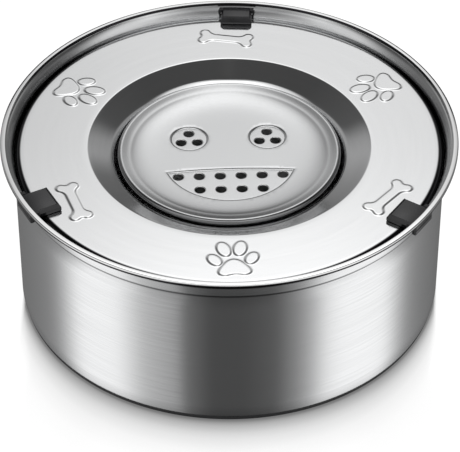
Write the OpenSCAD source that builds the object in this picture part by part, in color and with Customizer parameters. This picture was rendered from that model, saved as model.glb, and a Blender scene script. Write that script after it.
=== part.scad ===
// No-spill water bowl for dogs and cats, in millimetres.
// A drawn steel bowl with a rolled rim, a pressed splash ring that stands on a ledge inside
// the mouth, a hollow float disc with drain holes, and three latches that slide through the
// wall and hold the ring down. Z is up, the bowl stands on Z = 0 and the front faces -Y.

/* [Bowl] */
// Diameter over the rolled rim
rim_d = 250; // [240:1:270]
// Height over the rolled rim
bowl_h = 103.2; // [96:0.2:120]
// How far the rim stands out past the wall
rim_overhang = 7; // [6.4:0.1:7.6]
// Width of the rolled rim, seen from above
bead_w = 3.2; // [2.8:0.1:3.6]
// Thickness of the rolled rim
bead_t = 2.3; // [2:0.1:2.5]
// Sheet thickness of the bowl
wall_t = 0.7; // [0.5:0.05:0.9]
// Outside radius of the corner between wall and base
corner_r = 2.2; // [1.6:0.1:4]
// Width of the step in the wall that carries the splash ring
step_out = 1; // [0.9:0.05:1.2]
// From the top of the rim down to the step
step_drop = 13; // [12:0.1:15]

/* [Foot] */
// Height of the rubber foot ring under the base
foot_h = 1.4; // [1:0.1:3]
// Width of the rubber foot ring
foot_w = 14; // [8:0.5:20]

/* [Splash ring] */
// From the top of the rim down to the flat of the ring
ring_drop = 6.9; // [6.7:0.1:7.4]
// Sheet thickness of the ring
ring_t = 0.6; // [0.4:0.05:0.7]
// Radius of the rounded outer shoulder
shoulder_r = 3.8; // [3:0.1:4.5]
// Diameter of the edge where the flat turns down into the funnel
opening_d = 155; // [150:0.2:158]
// Slope of the funnel in degrees
funnel_a = 24; // [18:1:28]
// Inside diameter of the throat that the float moves in
throat_d = 126.4; // [120:0.2:128]
// Length of the throat below the flat of the ring
throat_h = 14.3; // [13:0.1:18]
// Height of the pressed paw prints and bones
emboss_h = 0.4; // [0.3:0.05:0.55]
// How far the ring has been turned from the latches, in degrees
ring_turn = 3.2; // [-8:0.2:8]

/* [Float] */
// Gap between the float and the throat
float_gap = 2.2; // [1.5:0.1:3]
// From the flat of the ring down to the lip of the float
float_sink = 4.8; // [3:0.1:6]
// Height of the float
float_h = 22; // [18:0.5:26]
// Sheet thickness of the float
float_t = 0.4; // [0.3:0.05:0.5]
// Drop from the lip to the crease around the dish
lip_drop = 1.4; // [1.3:0.1:1.6]
// Depth of the dish below the crease
dish_d = 2; // [1.6:0.1:2.4]
// Diameter of the drain holes
hole_d = 6.2; // [4:0.1:6.3]
// How far the float has turned in the throat, in degrees
float_turn = 4.5; // [-30:0.5:30]

/* [Latches] */
// Width of a latch slide at its base
slide_w = 18; // [17:0.2:20]
// Width of the flat on top of a latch slide
slide_top_w = 15.2; // [13:0.2:15.6]
// How far a latch slide reaches over the splash ring
slide_reach = 12.6; // [11:0.1:12.8]
// How far the back latch stands drawn out
back_out = 5; // [0:0.5:7]
// How far the right latch stands from its third of the rim, in degrees
right_turn = -1.6; // [-3:0.1:3]
// Running clearance around a latch slide
slide_gap = 0.15; // [0.1:0.05:0.25]
// Width of the finger grip outside the wall
grip_w = 16.4; // [15:0.2:17]
// Height of the finger grip
grip_h = 7; // [6.5:0.1:8]
// Thickness of the finger grip
grip_t = 2.7; // [2.4:0.1:3]

/* [Hidden] */
$fn = 96;
fit = 0.05;
lift = 0.3;
steel = "#c9ccce";
bright_steel = "#dfe1e3";
black = "#1c1c1e";
rim_r = rim_d / 2;
wall_r = rim_r - rim_overhang;
collar_out = wall_r + step_out;
collar_in = collar_out - wall_t;
step_z = bowl_h - step_drop;
ledge_z = step_z + wall_t;
bead_z = bowl_h - bead_t;
bead_edge = 0.7;
flare_drop = 8.2;
flare_tuck = 0.6;
flare_bury = 0.75;
flare_z = bowl_h - flare_drop;
flare_dx = rim_r - bead_w + flare_tuck - collar_in;
flare_dz = bead_z + flare_bury - flare_z;
flare_a = 2 * atan2(flare_dx, flare_dz);
flare_r = flare_dz / sin(flare_a);
ring_gap = 0.3;
ring_r = collar_in - ring_gap;
ring_z = bowl_h - ring_drop;
opening_r = opening_d / 2;
throat_r = throat_d / 2;
throat_bend = 2.8;
edge_bend = 2.5;
paw_turn = 3.8;
bone_turn = -11;
paw_r = (opening_r + ring_r - shoulder_r) / 2;
bone_r = paw_r + 0.7;
float_r = throat_r - float_gap;
lip_z = ring_z - float_sink;
lip_r = 1.6;
lip_a = 118;
brim = [[3.2, 0.62], [4.2, 0.98], [5.4, 1.24]];
crease_r = float_r - 6.5;
crease_z = lip_z - lip_drop;
dish_z = crease_z - dish_d;
floor_z = dish_z - 0.7;
hem_z = lip_z - 3.5;
flange_z = hem_z + float_t + fit;
pan_r = float_r - 3.5;
pan_z = lip_z - float_h;
pan_corner = 4;
eye_r = 10;
eye_x = 21.65;
eye_y = 15;
mouth_y = -14.3;
mouth_half = 35;
mouth_bow = 2.1;
mouth_deep = 24.4;
mouth_low_r = (mouth_half * mouth_half + mouth_deep * mouth_deep) / (2 * mouth_deep);
mouth_top_r = (mouth_half * mouth_half + mouth_bow * mouth_bow) / (2 * mouth_bow);
hole_pitch = 11.4;
hole_row = 3.1;
eye_hole_r = 5.2;
slide_z = ring_z + lift;
slide_top = bead_z - lift;
nose_r = ring_r - slide_reach;
nose_in = 1;
bevel_h = 2;
rib_w = 0.7;
rib_h = 0.5;
rib_edge = 0.3;
slot_edge = 0.85;
slot_half = slide_w / 2 + slide_gap + slot_edge + fit;
slot_z = slide_z - slide_gap - slot_edge - fit;
liner_out = collar_out + 1.5;
liner_lip = 0.5;
grip_r = liner_out + 0.2;
tenon_w = 12;
tenon_l = 1.8;
tenon_z = slide_z + 0.8;
tenon_h = slide_top - slide_z - 1.6;
grip_edge = 0.6;
grip_groove_z = 3.3;
grip_groove_d = 0.4;
BACK = 90;
LEFT = 210;
RIGHT = 330 + right_turn;

// Points on an arc about c, from angle a0 to angle a1
function arc(c, r, a0, a1, n) = [
    for (i = [0:n])
        let (a = a0 + (a1 - a0) * i / n)
        c + r * [cos(a), sin(a)]
];

// The direction to the left of the line from a to b
function left_of(a, b) = [a[1] - b[1], b[0] - a[0]] / norm(b - a);

// A line beside a path, t to its left, with mitred corners
function beside(path, t) = [
    for (i = [0:len(path) - 1])
        let (n1 = left_of(path[max(i - 1, 0)], path[max(i, 1)]))
        let (n2 = i == len(path) - 1 ? n1 : left_of(path[i], path[i + 1]))
        path[i] + t * (n1 + n2) / (1 + n1 * n2)
];

// The section of a sheet whose outer face follows the path from t0 to t1 on its left
function sheet(path, t0, t1) = concat(beside(path, t0), reverse(beside(path, t1)));

function reverse(list) = [for (i = [len(list) - 1:-1:0]) list[i]];

corner_path = arc([wall_r - corner_r, foot_h + corner_r], corner_r, -90, 0, 8);

mouth_path = concat(
    [[wall_r, step_z], [collar_out, step_z]],
    arc([collar_in + flare_r, flare_z], flare_r - wall_t, 180, 180 - flare_a, 12)
);

edge_x = opening_r + edge_bend * tan(funnel_a / 2);
edge_path = arc([edge_x, ring_z - edge_bend], edge_bend, 90, 90 + funnel_a, 4);
bend_x = throat_r + throat_bend * (1 - sin(funnel_a));
bend_z = edge_path[4][1] - (edge_path[4][0] - bend_x) * tan(funnel_a);
ring_path = concat(
    [[ring_r, ledge_z]],
    arc([ring_r - shoulder_r, ring_z - shoulder_r], shoulder_r, 0, 90, 10),
    edge_path,
    arc([throat_r + throat_bend, bend_z - throat_bend * cos(funnel_a)], throat_bend, 90 + funnel_a, 180, 8),
    [[throat_r, ring_z - throat_h]]
);

dish_path = [
    for (i = [14:-1:0])
        let (share = pow(i / 14, 2))
        [crease_r * i / 14, dish_z + dish_d * (0.25 * share + 0.75 * pow(share, 4))]
];
lip_path = concat(
    arc([float_r - lip_r, lip_z - lip_r], lip_r, 0, lip_a, 8),
    [for (b = brim) [float_r - b[0], lip_z - b[1]]],
    dish_path
);
top_path = concat([[float_r - 2.6, hem_z], [float_r, hem_z]], lip_path);

pan_path = concat(
    [[0, pan_z]],
    arc([pan_r - pan_corner, pan_z + pan_corner], pan_corner, -90, 0, 8),
    [[pan_r, flange_z], [float_r - float_t - 0.1, flange_z]]
);

// Where the drain holes stand on the float
drain_holes = concat(
    [for (side = [-1, 1], a = [90, 210, 330]) [side * eye_x, eye_y] + eye_hole_r * [cos(a), sin(a)]],
    [for (i = [-2.5:1:2.5]) [i * hole_pitch, mouth_y - hole_row]],
    [for (i = [-1.5:1:1.5]) [i * hole_pitch, mouth_y - hole_row - hole_pitch]]
);

// An oval toe of a paw print
function oval(a, b) = [for (i = [0:23]) [a * cos(i * 15), b * sin(i * 15)]];

// A closed line drawn smoothly through points, n steps from one to the next
function smooth(p, n) = [
    for (i = [0:len(p) - 1], j = [0:n - 1])
        let (a = p[(i + len(p) - 1) % len(p)], b = p[i], c = p[(i + 1) % len(p)], d = p[(i + 2) % len(p)])
        let (t = j / n)
        b + (t * (c - a) + t * t * (2 * a - 5 * b + 4 * c - d) + t * t * t * (3 * b - a - 3 * c + d)) / 2
];

// A closed clockwise line moved out by g
function grown(p, g) = [
    for (i = [0:len(p) - 1])
        p[i] + g * left_of(p[(i + len(p) - 1) % len(p)], p[(i + 1) % len(p)])
];

// The pad of a paw print: the right half from its top to the notch behind, then the whole line
pad_half = [[0, -0.6], [2, -1.1], [3.95, -2.4], [5.7, -4.4], [7.25, -6.6], [8.5, -9], [8.85, -10.8],
            [8.2, -12.4], [6.4, -13.4], [4.6, -13.6], [2.6, -13.1], [0, -12.7]];
pad_line = smooth(concat(pad_half, [for (i = [10:-1:1]) [-pad_half[i][0], pad_half[i][1]]]), 3);

// A paw print on the flat of the ring with its toes towards the middle, grown by g
module paw(g) {
    for (side = [-1, 1]) {
        translate([side * 4.3, 7.3])
            rotate(side * -14)
                polygon(oval(3.8 + g, 6.1 + g));
        translate([side * 9.75, -0.8])
            rotate(side * -30)
                polygon(oval(3.5 + g, 5.2 + g));
    }
    polygon(grown(pad_line, g));
}

// A quarter of a bone: half of its straight shaft, a fillet, a knuckle and half of the notch in its end
knuckle = [12.6, 3.4];
knuckle_r = 3;
shaft = 3;
fillet_r = 5;
notch_r = 2.5;
fillet_a = asin((shaft + fillet_r - knuckle[1]) / (knuckle_r + fillet_r));
fillet_x = knuckle[0] - (knuckle_r + fillet_r) * cos(fillet_a);
notch_a = asin(knuckle[1] / (knuckle_r + notch_r));
notch_x = knuckle[0] + (knuckle_r + notch_r) * cos(notch_a);
function bone_quarter(g) = concat(
    [[0, shaft + g]],
    arc([fillet_x, shaft + fillet_r], fillet_r - g, -90, -fillet_a, 5),
    arc(knuckle, knuckle_r + g, 180 - fillet_a, -notch_a, 10),
    arc([notch_x, 0], notch_r - g, 180 - notch_a, 180, 3)
);

// A bone across the flat of the ring, grown by g
module bone(g) {
    quarter = bone_quarter(g);
    half = concat(quarter, [for (p = reverse(quarter)) [p[0], -p[1]]]);
    polygon(concat(half, [for (p = half) -p]));
}

// The paw prints and bones of the ring between two heights
module motifs(g, z0, z1) {
    for (a = [0, 120, 240]) {
        rotate(ring_turn + a)
            translate([0, -paw_r, z0])
                linear_extrude(z1 - z0)
                    rotate(paw_turn)
                        paw(g);
        rotate(ring_turn + a)
            translate([0, bone_r, z0])
                linear_extrude(z1 - z0)
                    rotate(bone_turn)
                        bone(g);
    }
}

// The eyes and the mouth of the float, as upright blocks grown by g
module face_blocks(g, z0, z1) {
    for (side = [-1, 1])
        translate([side * eye_x, eye_y, z0])
            cylinder(r = eye_r + g, h = z1 - z0);
    intersection() {
        translate([0, mouth_y - mouth_deep + mouth_low_r, z0])
            cylinder(r = mouth_low_r + g, h = z1 - z0);
        translate([0, mouth_y + mouth_bow - mouth_top_r, z0])
            cylinder(r = mouth_top_r + g, h = z1 - z0);
    }
}

module drain_bores() {
    for (p = drain_holes)
        translate([p[0], p[1], pan_z])
            cylinder(d = hole_d, h = float_h);
}

// The wall of the mouth as a ring, thicker by g on both faces
module mouth_ring(g) {
    rotate_extrude()
        polygon(sheet(mouth_path, -g, wall_t + g));
}

// The opening in the wall for one latch, out along +X
module slot() {
    translate([wall_r - 4, -slot_half, slot_z])
        cube([rim_overhang + 2, 2 * slot_half, bead_z - slot_z]);
}

// Steel bowl: base, wall, step, flared mouth and rolled rim in one drawing
module bowl_body() {
    color(steel)
        difference() {
            union() {
                rotate_extrude()
                    polygon(sheet(concat([[0, foot_h]], corner_path, mouth_path), 0, wall_t));
                rotate_extrude()
                    polygon(concat(
                        arc([rim_r - bead_edge, bead_z + bead_edge], bead_edge, -90, 0, 6),
                        arc([rim_r - bead_edge, bowl_h - bead_edge], bead_edge, 0, 90, 6),
                        arc([rim_r - bead_w + bead_edge, bowl_h - bead_edge], bead_edge, 90, 180, 6),
                        arc([rim_r - bead_w + bead_edge, bead_z + bead_edge], bead_edge, 180, 270, 6)
                    ));
            }
            for (a = [BACK, LEFT, RIGHT])
                rotate(a)
                    slot();
        }
}

// Rubber ring bonded under the base, with its outer edge turned up against the corner
module foot_ring() {
    edge = corner_path[4];
    color(black)
        rotate_extrude()
            polygon(concat(
                [[edge[0] - foot_w, 0], [edge[0] - 0.3, 0], [edge[0], 0.3]],
                [for (i = [4:-1:0]) corner_path[i]],
                [[edge[0] - foot_w, foot_h]]
            ));
}

// Pressed ring with rounded shoulder, funnel, throat and raised prints
module splash_ring() {
    color(bright_steel)
        difference() {
            union() {
                rotate_extrude()
                    polygon(sheet(ring_path, 0, ring_t));
                motifs(0, ring_z - ring_t, ring_z + emboss_h);
            }
            motifs(-ring_t, ring_z - ring_t - 1, ring_z + emboss_h - ring_t);
        }
}

// Upper half of the float: dish, lip hemmed under the seam, recessed face with drain holes
module float_top_plate() {
    color(bright_steel)
        rotate(float_turn)
            difference() {
                union() {
                    rotate_extrude()
                        polygon(sheet(top_path, 0, float_t));
                    intersection() {
                        face_blocks(float_t, floor_z - float_t, lip_z);
                        rotate_extrude()
                            polygon(concat(dish_path, [[0, floor_z - 2], [crease_r, floor_z - 2]]));
                    }
                }
                face_blocks(0, floor_z, lip_z);
                drain_bores();
            }
}

// Lower half of the float: pan with a flange, and wells that rise to the face
module float_bottom_pan() {
    top = floor_z - float_t;
    color(steel)
        rotate(float_turn)
            difference() {
                union() {
                    rotate_extrude()
                        polygon(sheet(pan_path, 0, float_t));
                    face_blocks(-0.1, pan_z, top);
                }
                face_blocks(-0.1 - float_t, pan_z - 1, top - float_t);
                drain_bores();
            }
}

// Silicone ring that closes the seam of the float
module float_seal() {
    color(black)
        translate([0, 0, flange_z + float_t])
            difference() {
                cylinder(r = float_r - float_t - 0.1, h = 0.8);
                translate([0, 0, -1])
                    cylinder(r = pan_r + 0.3, h = 3);
            }
}

// Moulded lining of a slot, open at the top under the rim
module latch_liner(a) {
    half = slot_half - fit;
    base = slot_z + fit;
    top = bead_z - 0.5;
    inner = collar_in + 0.05;
    color(black)
        rotate(a)
            difference() {
                union() {
                    translate([inner, -half, base])
                        cube([liner_out - inner, 2 * half, top - base]);
                    translate([collar_out - 0.1, -half - liner_lip, base - liner_lip])
                        cube([liner_out - collar_out + 0.1, 2 * (half + liner_lip), 4]);
                    translate([inner, -half - liner_lip, slide_z + 1])
                        cube([1.1, 2 * (half + liner_lip), top - slide_z - 1]);
                }
                difference() {
                    mouth_ring(fit);
                    slot();
                }
                translate([wall_r - 4, -slide_w / 2 - slide_gap, slide_z - slide_gap])
                    cube([rim_overhang + 4, slide_w + 2 * slide_gap, 8]);
            }
}

// Sliding tongue with bevelled sides and nose, a stop rib on its nose and a tenon for the grip
module latch_slide(a, out) {
    half = slide_w / 2;
    flat = slide_top_w / 2;
    shoulder = slide_top - bevel_h;
    rib_r = nose_r + nose_in;
    color(black)
        rotate(a)
            translate([out, 0, 0]) {
                intersection() {
                    translate([nose_r, 0, 0])
                        rotate([90, 0, 90])
                            linear_extrude(grip_r - nose_r)
                                polygon([[-half, slide_z], [half, slide_z], [half, shoulder],
                                         [flat, slide_top], [-flat, slide_top], [-half, shoulder]]);
                    translate([0, half, 0])
                        rotate([90, 0, 0])
                            linear_extrude(slide_w)
                                polygon([[nose_r, slide_z], [grip_r, slide_z], [grip_r, slide_top],
                                         [nose_r + nose_in, slide_top], [nose_r, shoulder]]);
                }
                translate([0, flat - rib_edge, 0])
                    rotate([90, 0, 0])
                        linear_extrude(2 * (flat - rib_edge))
                            polygon([[rib_r, slide_top - rib_h], [rib_r + rib_w, slide_top - rib_h],
                                     [rib_r + rib_w, slide_top + rib_h],
                                     [rib_r + rib_w / 2, slide_top + rib_h], [rib_r, slide_top]]);
                translate([grip_r - tenon_l, -tenon_w / 2, tenon_z])
                    cube([2 * tenon_l, tenon_w, tenon_h]);
            }
}

// Finger grip outside the wall, with a groove along it and a socket for the tenon
module latch_grip(a, out) {
    low = slide_top - grip_h;
    face = grip_r + grip_t;
    mid = low + grip_groove_z;
    color(black)
        rotate(a)
            translate([out, 0, 0])
                difference() {
                    translate([0, grip_w / 2, 0])
                        rotate([90, 0, 0])
                            linear_extrude(grip_w)
                                polygon([[grip_r, low + grip_groove_d], [grip_r + grip_groove_d, low],
                                         [face - grip_edge, low], [face, low + grip_edge],
                                         [face, mid - grip_groove_d], [face - grip_groove_d, mid],
                                         [face, mid + grip_groove_d], [face, slide_top - grip_edge],
                                         [face - grip_edge, slide_top], [grip_r, slide_top]]);
                    translate([grip_r - 1, -tenon_w / 2 - fit, tenon_z - fit])
                        cube([tenon_l + fit + 1, tenon_w + 2 * fit, tenon_h + 2 * fit]);
                }
}

module latch_liner_back() latch_liner(BACK);
module latch_liner_left() latch_liner(LEFT);
module latch_liner_right() latch_liner(RIGHT);
module latch_slide_back() latch_slide(BACK, back_out);
module latch_slide_left() latch_slide(LEFT, 0);
module latch_slide_right() latch_slide(RIGHT, 0);
module latch_grip_back() latch_grip(BACK, back_out);
module latch_grip_left() latch_grip(LEFT, 0);
module latch_grip_right() latch_grip(RIGHT, 0);

bowl_body();
foot_ring();
splash_ring();
float_top_plate();
float_bottom_pan();
float_seal();
latch_liner_back();
latch_liner_left();
latch_liner_right();
latch_slide_back();
latch_slide_left();
latch_slide_right();
latch_grip_back();
latch_grip_left();
latch_grip_right();
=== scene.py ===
import math

import bmesh
import bpy
import numpy as np
from mathutils import Matrix, Vector
from mathutils.geometry import delaunay_2d_cdt


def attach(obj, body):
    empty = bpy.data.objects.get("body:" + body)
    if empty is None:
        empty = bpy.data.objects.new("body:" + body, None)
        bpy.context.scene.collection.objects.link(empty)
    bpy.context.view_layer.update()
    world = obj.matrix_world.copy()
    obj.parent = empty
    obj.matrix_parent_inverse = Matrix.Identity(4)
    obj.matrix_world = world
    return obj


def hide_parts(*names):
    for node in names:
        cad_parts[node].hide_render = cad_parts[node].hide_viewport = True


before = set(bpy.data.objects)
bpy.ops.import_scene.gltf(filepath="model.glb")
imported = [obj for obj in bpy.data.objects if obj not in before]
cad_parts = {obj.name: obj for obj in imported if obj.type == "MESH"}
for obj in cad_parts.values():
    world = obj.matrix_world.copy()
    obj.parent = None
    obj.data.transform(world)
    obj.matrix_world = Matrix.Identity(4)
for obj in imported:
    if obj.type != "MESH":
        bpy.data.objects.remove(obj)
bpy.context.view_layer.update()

MM = 0.001

# Sizes in millimetres: R is a radius, Z a height above the floor, T a thickness, A an angle in degrees

# Bowl: rolled bead of the rim, wall, collar above the step, flare, slots for the latches, rubber foot
RIM_R, BOWL_H, BEAD_W, BEAD_T, BEAD_R = 125.0, 103.2, 3.2, 2.3, 0.7
BEAD_Z = BOWL_H - BEAD_T
WALL_R, WALL_T, CORNER_R, FOOT_H = 118.0, 0.7, 2.2, 1.4
COLLAR_OUT, COLLAR_IN, STEP_Z = 119.0, 118.3, 90.2
STEP_BEND, COLLAR_BEND, LEDGE_BEND = 0.3, 0.4, 0.2
FLARE_Z, FLARE_IN, FLARE_UP = 95.0, 0.6, 0.75
SLOT_HALF, SLOT_Z, SLOT_AT, SLOT_REACH = 10.05, 95.55, 118.5, 9.0
FOOT_W, FOOT_GROOVE = 14.0, 0.4

# Splash ring: flat, shoulder, funnel and throat, and the prints pressed up out of the flat
RING_R, RING_Z, RING_T, SHOULDER_R, LEDGE_Z = 118.0, 96.3, 0.6, 3.8, 90.9
OPENING_R, FUNNEL_A, EDGE_BEND = 77.5, 24.0, 2.5
THROAT_R, THROAT_BEND, THROAT_H = 62.1, 6.0, 14.3
PRINT_H, PRINT_SIDE, PRINT_SPREAD = 0.34, 1.5, 0.35
PAW_AT = (OPENING_R + RING_R - SHOULDER_R) / 2
BONE_AT = PAW_AT + 0.7
RING_TURN, PAW_TURN, BONE_TURN = math.radians(3.2), math.radians(3.8), math.radians(-11.0)

# Float: rolled lip, dish, and the face of drain holes sunk into the dish
FLOAT_R, LIP_Z, LIP_R, LIP_DROP, DISH_D, FLOAT_T = 61.0, 91.5, 1.6, 1.0, 1.7, 0.4
CREASE_R = FLOAT_R - 6.5
DISH_Z = LIP_Z - LIP_DROP - DISH_D
FLOOR_Z = DISH_Z - 0.7
FLOAT_TURN, FLOAT_COLUMNS = math.radians(4.5), 192
FACE_R = 44.0
EYE_R, EYE_X, EYE_Y = 10.0, 21.65, 13.8
MOUTH_Y, MOUTH_HALF, MOUTH_BOW, MOUTH_DEEP = -15.5, 34.4, 2.1, 24.7
HOLE_R, HOLE_PITCH, HOLE_ROW, EYE_HOLE_R = 3.1, 11.4, 3.1, 5.2

# Latches: tongue with a rib across its nose, and finger grip with a groove
NOSE_R, NOSE_IN, GRIP_R, SLIDE_Z, SLIDE_TOP = 105.4, 1.0, 120.7, 96.6, 100.6
SLIDE_W, SLIDE_FLAT, SLIDE_BEVEL = 18.0, 15.2, 2.0
RIB_W, RIB_H, RIB_EDGE = 0.7, 0.5, 0.3
GRIP_W, GRIP_H, GRIP_T, GRIP_GROOVE = 16.4, 7.0, 2.7, 3.3
# Where each latch stands round the rim, in degrees, and how far it is drawn out
STATIONS = {"back": (90.0, 5.0), "left": (210.0, 0.0), "right": (328.4, 0.0)}


# Lines and pieces

def arc(cx, cz, r, a0, a1, n):
    """Points on an arc, angles in degrees."""
    angles = [math.radians(a0 + (a1 - a0) * i / n) for i in range(n + 1)]
    return [(cx + r * math.cos(a), cz + r * math.sin(a)) for a in angles]


def line(p, q, n):
    """Points from p to q without p."""
    return [(p[0] + (q[0] - p[0]) * i / n, p[1] + (q[1] - p[1]) * i / n) for i in range(1, n + 1)]


def circle_loop(cx, cy, r, n):
    """Points round a circle."""
    angles = np.linspace(0, math.tau, n, endpoint=False)
    return [(cx + r * math.cos(a), cy + r * math.sin(a)) for a in angles]


def new_piece(name, points, faces, material=None):
    """A piece from points in millimetres, in the scene but not finished."""
    mesh = bpy.data.meshes.new(name)
    mesh.from_pydata([Vector(p) * MM for p in points], [], faces)
    if material:
        mesh.materials.append(material)
    piece = bpy.data.objects.new(name, mesh)
    bpy.context.scene.collection.objects.link(piece)
    return piece


def finish_piece(piece, body, nodes, sharp=32.0):
    """Makes a piece smooth but for its sharp edges, and ties it to the frame."""
    piece.data.shade_smooth()
    piece.data.set_sharp_from_angle(angle=math.radians(sharp))
    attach(piece, body)
    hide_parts(*nodes)


def bake(piece):
    """Turns a piece's modifiers into plain mesh."""
    bpy.context.view_layer.update()
    graph = bpy.context.evaluated_depsgraph_get()
    mesh = bpy.data.meshes.new_from_object(piece.evaluated_get(graph), depsgraph=graph)
    old = piece.data
    piece.modifiers.clear()
    piece.data = mesh
    mesh.name = piece.name
    bpy.data.meshes.remove(old)


def thicken(piece, thickness, even=False):
    """Makes a surface into a sheet that lies below it."""
    wall = piece.modifiers.new("Sheet", "SOLIDIFY")
    wall.thickness = thickness * MM
    wall.offset = -1.0
    wall.use_even_offset = even
    bake(piece)


def face_out(mesh):
    """Turns all faces of a closed mesh outwards."""
    work = bmesh.new()
    work.from_mesh(mesh)
    bmesh.ops.recalc_face_normals(work, faces=work.faces)
    work.to_mesh(mesh)
    work.free()


# The flare of the bowl's mouth, an arc about (flare_x, FLARE_Z)
flare_dx = RIM_R - BEAD_W + FLARE_IN - COLLAR_IN
flare_dz = BEAD_Z + FLARE_UP - FLARE_Z
flare_a = 2 * math.atan2(flare_dx, flare_dz)
flare_r = flare_dz / math.sin(flare_a)
flare_x = COLLAR_IN + flare_r
low_a = 180 - math.degrees(math.asin((BEAD_Z - FLARE_Z) / (flare_r - WALL_T)))
top_a = 180 - math.degrees(math.acos((flare_x - (RIM_R - BEAD_W)) / flare_r))


# Nodes

def node(tree, kind, values=None, **settings):
    """A new node with its settings, and with values for some of its inputs."""
    made = tree.nodes.new(kind)
    for key, value in settings.items():
        setattr(made, key, value)
    for key, value in (values or {}).items():
        made.inputs[key].default_value = value
    return made


def join(tree, *pairs):
    for source, target in pairs:
        tree.links.new(source, target)


def feed(tree, source, target):
    """Links an output to an input, or sets the input to a plain value."""
    if hasattr(source, "is_output"):
        tree.links.new(source, target)
    else:
        target.default_value = source


def math_node(tree, operation, *values):
    made = node(tree, "ShaderNodeMath", operation=operation)
    for i, value in enumerate(values):
        feed(tree, value, made.inputs[i])
    return made.outputs[0]


def product(tree, *masks):
    """Masks and plain numbers multiplied together."""
    made = masks[0]
    for mask in masks[1:]:
        made = math_node(tree, "MULTIPLY", made, mask)
    return made


def mix(tree, factor, a, b):
    """A blend of two colours, by a mask."""
    made = node(tree, "ShaderNodeMix", data_type="RGBA")
    for source, key in ((factor, "Factor"), (a, "A"), (b, "B")):
        feed(tree, source, made.inputs[key])
    return made.outputs["Result"]


def ramp(tree, source, low, high, start=0.3, end=0.7):
    """Maps a mask from start..end to low..high."""
    values = {"From Min": start, "From Max": end, "To Min": low, "To Max": high}
    made = node(tree, "ShaderNodeMapRange", values)
    tree.links.new(source, made.inputs["Value"])
    return made.outputs["Result"]


def rises(tree, source, start, end, top=1.0):
    """A mask that rises from nothing at start to top at end, in millimetres."""
    return ramp(tree, source, 0.0, top, start * MM, end * MM)


def falls(tree, source, start, end, top=1.0):
    """A mask that falls from top at start to nothing at end, in millimetres."""
    return ramp(tree, source, top, 0.0, start * MM, end * MM)


def between(tree, source, start, full, last, end):
    """A mask that rises from start to full and falls from last to end, in millimetres."""
    return product(tree, rises(tree, source, start, full), falls(tree, source, last, end))


def shade(tree, source, dark, light):
    """Maps a mask to a blend of two colours."""
    return mix(tree, ramp(tree, source, 0.0, 1.0), (*dark, 1), (*light, 1))


# Materials

# A rolled edge is smoother than the sheet and paler, the paler colour a painted highlight, and a narrow
# gap gets nearly black painted shade
ROLLED_HIGHLIGHT_COLOUR, ROLLED_HIGHLIGHT_SHARE, ROLLED_SMOOTH = (0.97, 0.97, 0.97, 1), 0.8, 0.7
PAINTED_SHADE_COLOUR = (0.03, 0.03, 0.032, 1)


def new_material(name):
    material = bpy.data.materials.new(name)
    material.use_nodes = True
    tree = material.node_tree
    return material, tree, tree.nodes["Principled BSDF"]


def bump(tree, shader, source, strength, distance):
    made = node(tree, "ShaderNodeBump", {"Strength": strength, "Distance": distance})
    join(tree, (source, made.inputs["Height"]), (made.outputs["Normal"], shader.inputs["Normal"]))


def brush_lines_group():
    """Long fine streaks that run round the Z axis, as a brush leaves them on turned sheet."""
    group = bpy.data.node_groups.new("Brush lines", "ShaderNodeTree")
    for name in ("Round", "Fine"):
        group.interface.new_socket(name, in_out="INPUT", socket_type="NodeSocketFloat")
    for name in ("Streak", "Radius", "Height", "Depth"):
        group.interface.new_socket(name, in_out="OUTPUT", socket_type="NodeSocketFloat")
    enter = node(group, "NodeGroupInput")
    leave = node(group, "NodeGroupOutput")
    place = node(group, "ShaderNodeTexCoord")
    parts = node(group, "ShaderNodeSeparateXYZ")
    flat = node(group, "ShaderNodeVectorMath", {1: (1, 1, 0)}, operation="MULTIPLY")
    radius = node(group, "ShaderNodeVectorMath", operation="LENGTH")
    turn = node(group, "ShaderNodeVectorMath", operation="NORMALIZE")
    turn_scale = node(group, "ShaderNodeVectorMath", operation="SCALE")
    turn_parts = node(group, "ShaderNodeSeparateXYZ")
    along = math_node(group, "ADD", parts.outputs["Z"], radius.outputs["Value"])
    vector = node(group, "ShaderNodeCombineXYZ")
    streak = node(group, "ShaderNodeTexNoise", {"Scale": 1.0, "Detail": 3.0, "Roughness": 0.65})
    join(
        group,
        (place.outputs["Object"], parts.inputs[0]),
        (place.outputs["Object"], flat.inputs[0]),
        (flat.outputs[0], radius.inputs[0]),
        (flat.outputs[0], turn.inputs[0]),
        (turn.outputs[0], turn_scale.inputs[0]),
        (enter.outputs["Round"], turn_scale.inputs["Scale"]),
        (turn_scale.outputs[0], turn_parts.inputs[0]),
        (turn_parts.outputs["X"], vector.inputs["X"]),
        (turn_parts.outputs["Y"], vector.inputs["Y"]),
        (product(group, along, enter.outputs["Fine"]), vector.inputs["Z"]),
        (vector.outputs[0], streak.inputs["Vector"]),
        (streak.outputs["Fac"], leave.inputs["Streak"]),
        (radius.outputs["Value"], leave.inputs["Radius"]),
        (parts.outputs["Z"], leave.inputs["Height"]),
        (parts.outputs["Y"], leave.inputs["Depth"]),
    )
    return group


BRUSH_LINES = brush_lines_group()


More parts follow.
